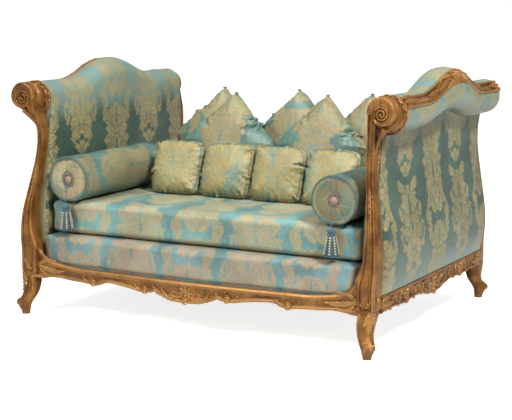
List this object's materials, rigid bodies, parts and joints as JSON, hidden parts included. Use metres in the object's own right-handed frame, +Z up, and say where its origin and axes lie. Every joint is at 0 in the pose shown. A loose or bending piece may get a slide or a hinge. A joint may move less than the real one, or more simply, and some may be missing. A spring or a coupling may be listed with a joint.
{
  "type": "recamier",
  "caption": "Gilt wood daybed with equal scrolled high ends, cabriole legs and carved rails, a loose mattress, bolsters with tassels and square cushions in silk damask.",
  "frame": {"origin": "on the floor under the middle of the daybed, halfway along its length and its depth", "axes": "+X along the length to the right as seen from the front, +Z up, the front towards -Y"},
  "size_m": [1.9338, 1.405, 1.1376],
  "materials": {
    "gilt_wood": "worn water gilding over reddish bole, carved",
    "plain_wood": "sawn beech, unfinished",
    "damask": "turquoise and tan gold silk damask, satin ground",
    "gold_silk": "gold silk damask",
    "button_silk": "pinkish gold silk with a gimp ring",
    "cord_silk": "twisted blue silk cord",
    "tassel_silk": "gold and cream silk strands",
    "brass": "dull, aged"
  },
  "bodies": {
    "frame": {"leg_front_left": "gilt_wood", "upright_front_left": "gilt_wood", "bed_bolt_front_left": "brass", "leg_back_left": "gilt_wood", "upright_back_left": "gilt_wood", "bed_bolt_back_left": "brass", "side_rail_left": "gilt_wood", "scroll_rail_left": "plain_wood", "crest_left": "gilt_wood", "end_board_left": "plain_wood", "inner_pad_left": "damask", "outer_pad_left": "damask", "roll_left": "damask", "leg_front_right": "gilt_wood", "upright_front_right": "gilt_wood", "bed_bolt_front_right": "brass", "leg_back_right": "gilt_wood", "upright_back_right": "gilt_wood", "bed_bolt_back_right": "brass", "side_rail_right": "gilt_wood", "scroll_rail_right": "plain_wood", "crest_right": "gilt_wood", "end_board_right": "plain_wood", "inner_pad_right": "damask", "outer_pad_right": "damask", "roll_right": "damask", "front_rail": "gilt_wood", "ledger_front": "plain_wood", "back_rail": "gilt_wood", "ledger_back": "plain_wood", "slat_1": "plain_wood", "slat_2": "plain_wood", "slat_3": "plain_wood", "slat_4": "plain_wood", "slat_5": "plain_wood", "slat_6": "plain_wood"},
    "box_spring": {"box_spring": "damask"},
    "mattress": {"mattress": "damask"},
    "bolster_left": {"bolster_left": "damask", "bolster_button_front_left": "button_silk", "bolster_button_back_left": "button_silk"},
    "tassel_left": {"tassel_cord_left": "cord_silk", "tassel_left": "tassel_silk"},
    "bolster_right": {"bolster_right": "damask", "bolster_button_front_right": "button_silk", "bolster_button_back_right": "button_silk"},
    "tassel_right": {"tassel_cord_right": "cord_silk", "tassel_right": "tassel_silk"},
    "small_cushion_1": {"small_cushion_1": "gold_silk"},
    "small_cushion_2": {"small_cushion_2": "gold_silk"},
    "small_cushion_3": {"small_cushion_3": "gold_silk"},
    "small_cushion_4": {"small_cushion_4": "gold_silk"},
    "large_cushion_front_1": {"large_cushion_front_1": "damask"},
    "large_cushion_front_2": {"large_cushion_front_2": "damask"},
    "large_cushion_back_1": {"large_cushion_back_1": "damask"},
    "large_cushion_back_2": {"large_cushion_back_2": "damask"},
    "large_cushion_back_3": {"large_cushion_back_3": "damask"}
  },
  "joints": [
    {"name": "box_spring_lift", "type": "slide", "parent": "frame", "child": "box_spring", "axis": [0, 0, 1], "range_m": [0, 0.12]},
    {"name": "mattress_lift", "type": "slide", "parent": "box_spring", "child": "mattress", "axis": [0, 0, 1], "range_m": [0, 0.15]},
    {"name": "bolster_left_lift", "type": "slide", "parent": "mattress", "child": "bolster_left", "axis": [0, 0, 1], "range_m": [0, 0.15]},
    {"name": "tassel_left_swing", "type": "hinge", "parent": "bolster_left", "child": "tassel_left", "pos_m": [-0.661, -0.579, 0.594], "axis": [-1, 0, 0], "range_deg": [0, 60]},
    {"name": "bolster_right_lift", "type": "slide", "parent": "mattress", "child": "bolster_right", "axis": [0, 0, 1], "range_m": [0, 0.15]},
    {"name": "tassel_right_swing", "type": "hinge", "parent": "bolster_right", "child": "tassel_right", "pos_m": [0.661, -0.579, 0.594], "axis": [-1, 0, 0], "range_deg": [0, 60]},
    {"name": "small_cushion_1_lift", "type": "slide", "parent": "mattress", "child": "small_cushion_1", "axis": [0, 0.342, 0.9397], "range_m": [0, 0.15]},
    {"name": "small_cushion_2_lift", "type": "slide", "parent": "mattress", "child": "small_cushion_2", "axis": [0, 0.342, 0.9397], "range_m": [0, 0.15]},
    {"name": "small_cushion_3_lift", "type": "slide", "parent": "mattress", "child": "small_cushion_3", "axis": [0, 0.342, 0.9397], "range_m": [0, 0.15]},
    {"name": "small_cushion_4_lift", "type": "slide", "parent": "mattress", "child": "small_cushion_4", "axis": [0, 0.342, 0.9397], "range_m": [0, 0.15]},
    {"name": "large_cushion_front_1_lift", "type": "slide", "parent": "mattress", "child": "large_cushion_front_1", "axis": [0, 0.342, 0.9397], "range_m": [0, 0.15]},
    {"name": "large_cushion_front_2_lift", "type": "slide", "parent": "mattress", "child": "large_cushion_front_2", "axis": [0, 0.342, 0.9397], "range_m": [0, 0.15]},
    {"name": "large_cushion_back_1_lift", "type": "slide", "parent": "mattress", "child": "large_cushion_back_1", "axis": [0, 0.342, 0.9397], "range_m": [0, 0.15]},
    {"name": "large_cushion_back_2_lift", "type": "slide", "parent": "mattress", "child": "large_cushion_back_2", "axis": [0, 0.342, 0.9397], "range_m": [0, 0.15]},
    {"name": "large_cushion_back_3_lift", "type": "slide", "parent": "mattress", "child": "large_cushion_back_3", "axis": [0, 0.342, 0.9397], "range_m": [0, 0.15]}
  ]
}
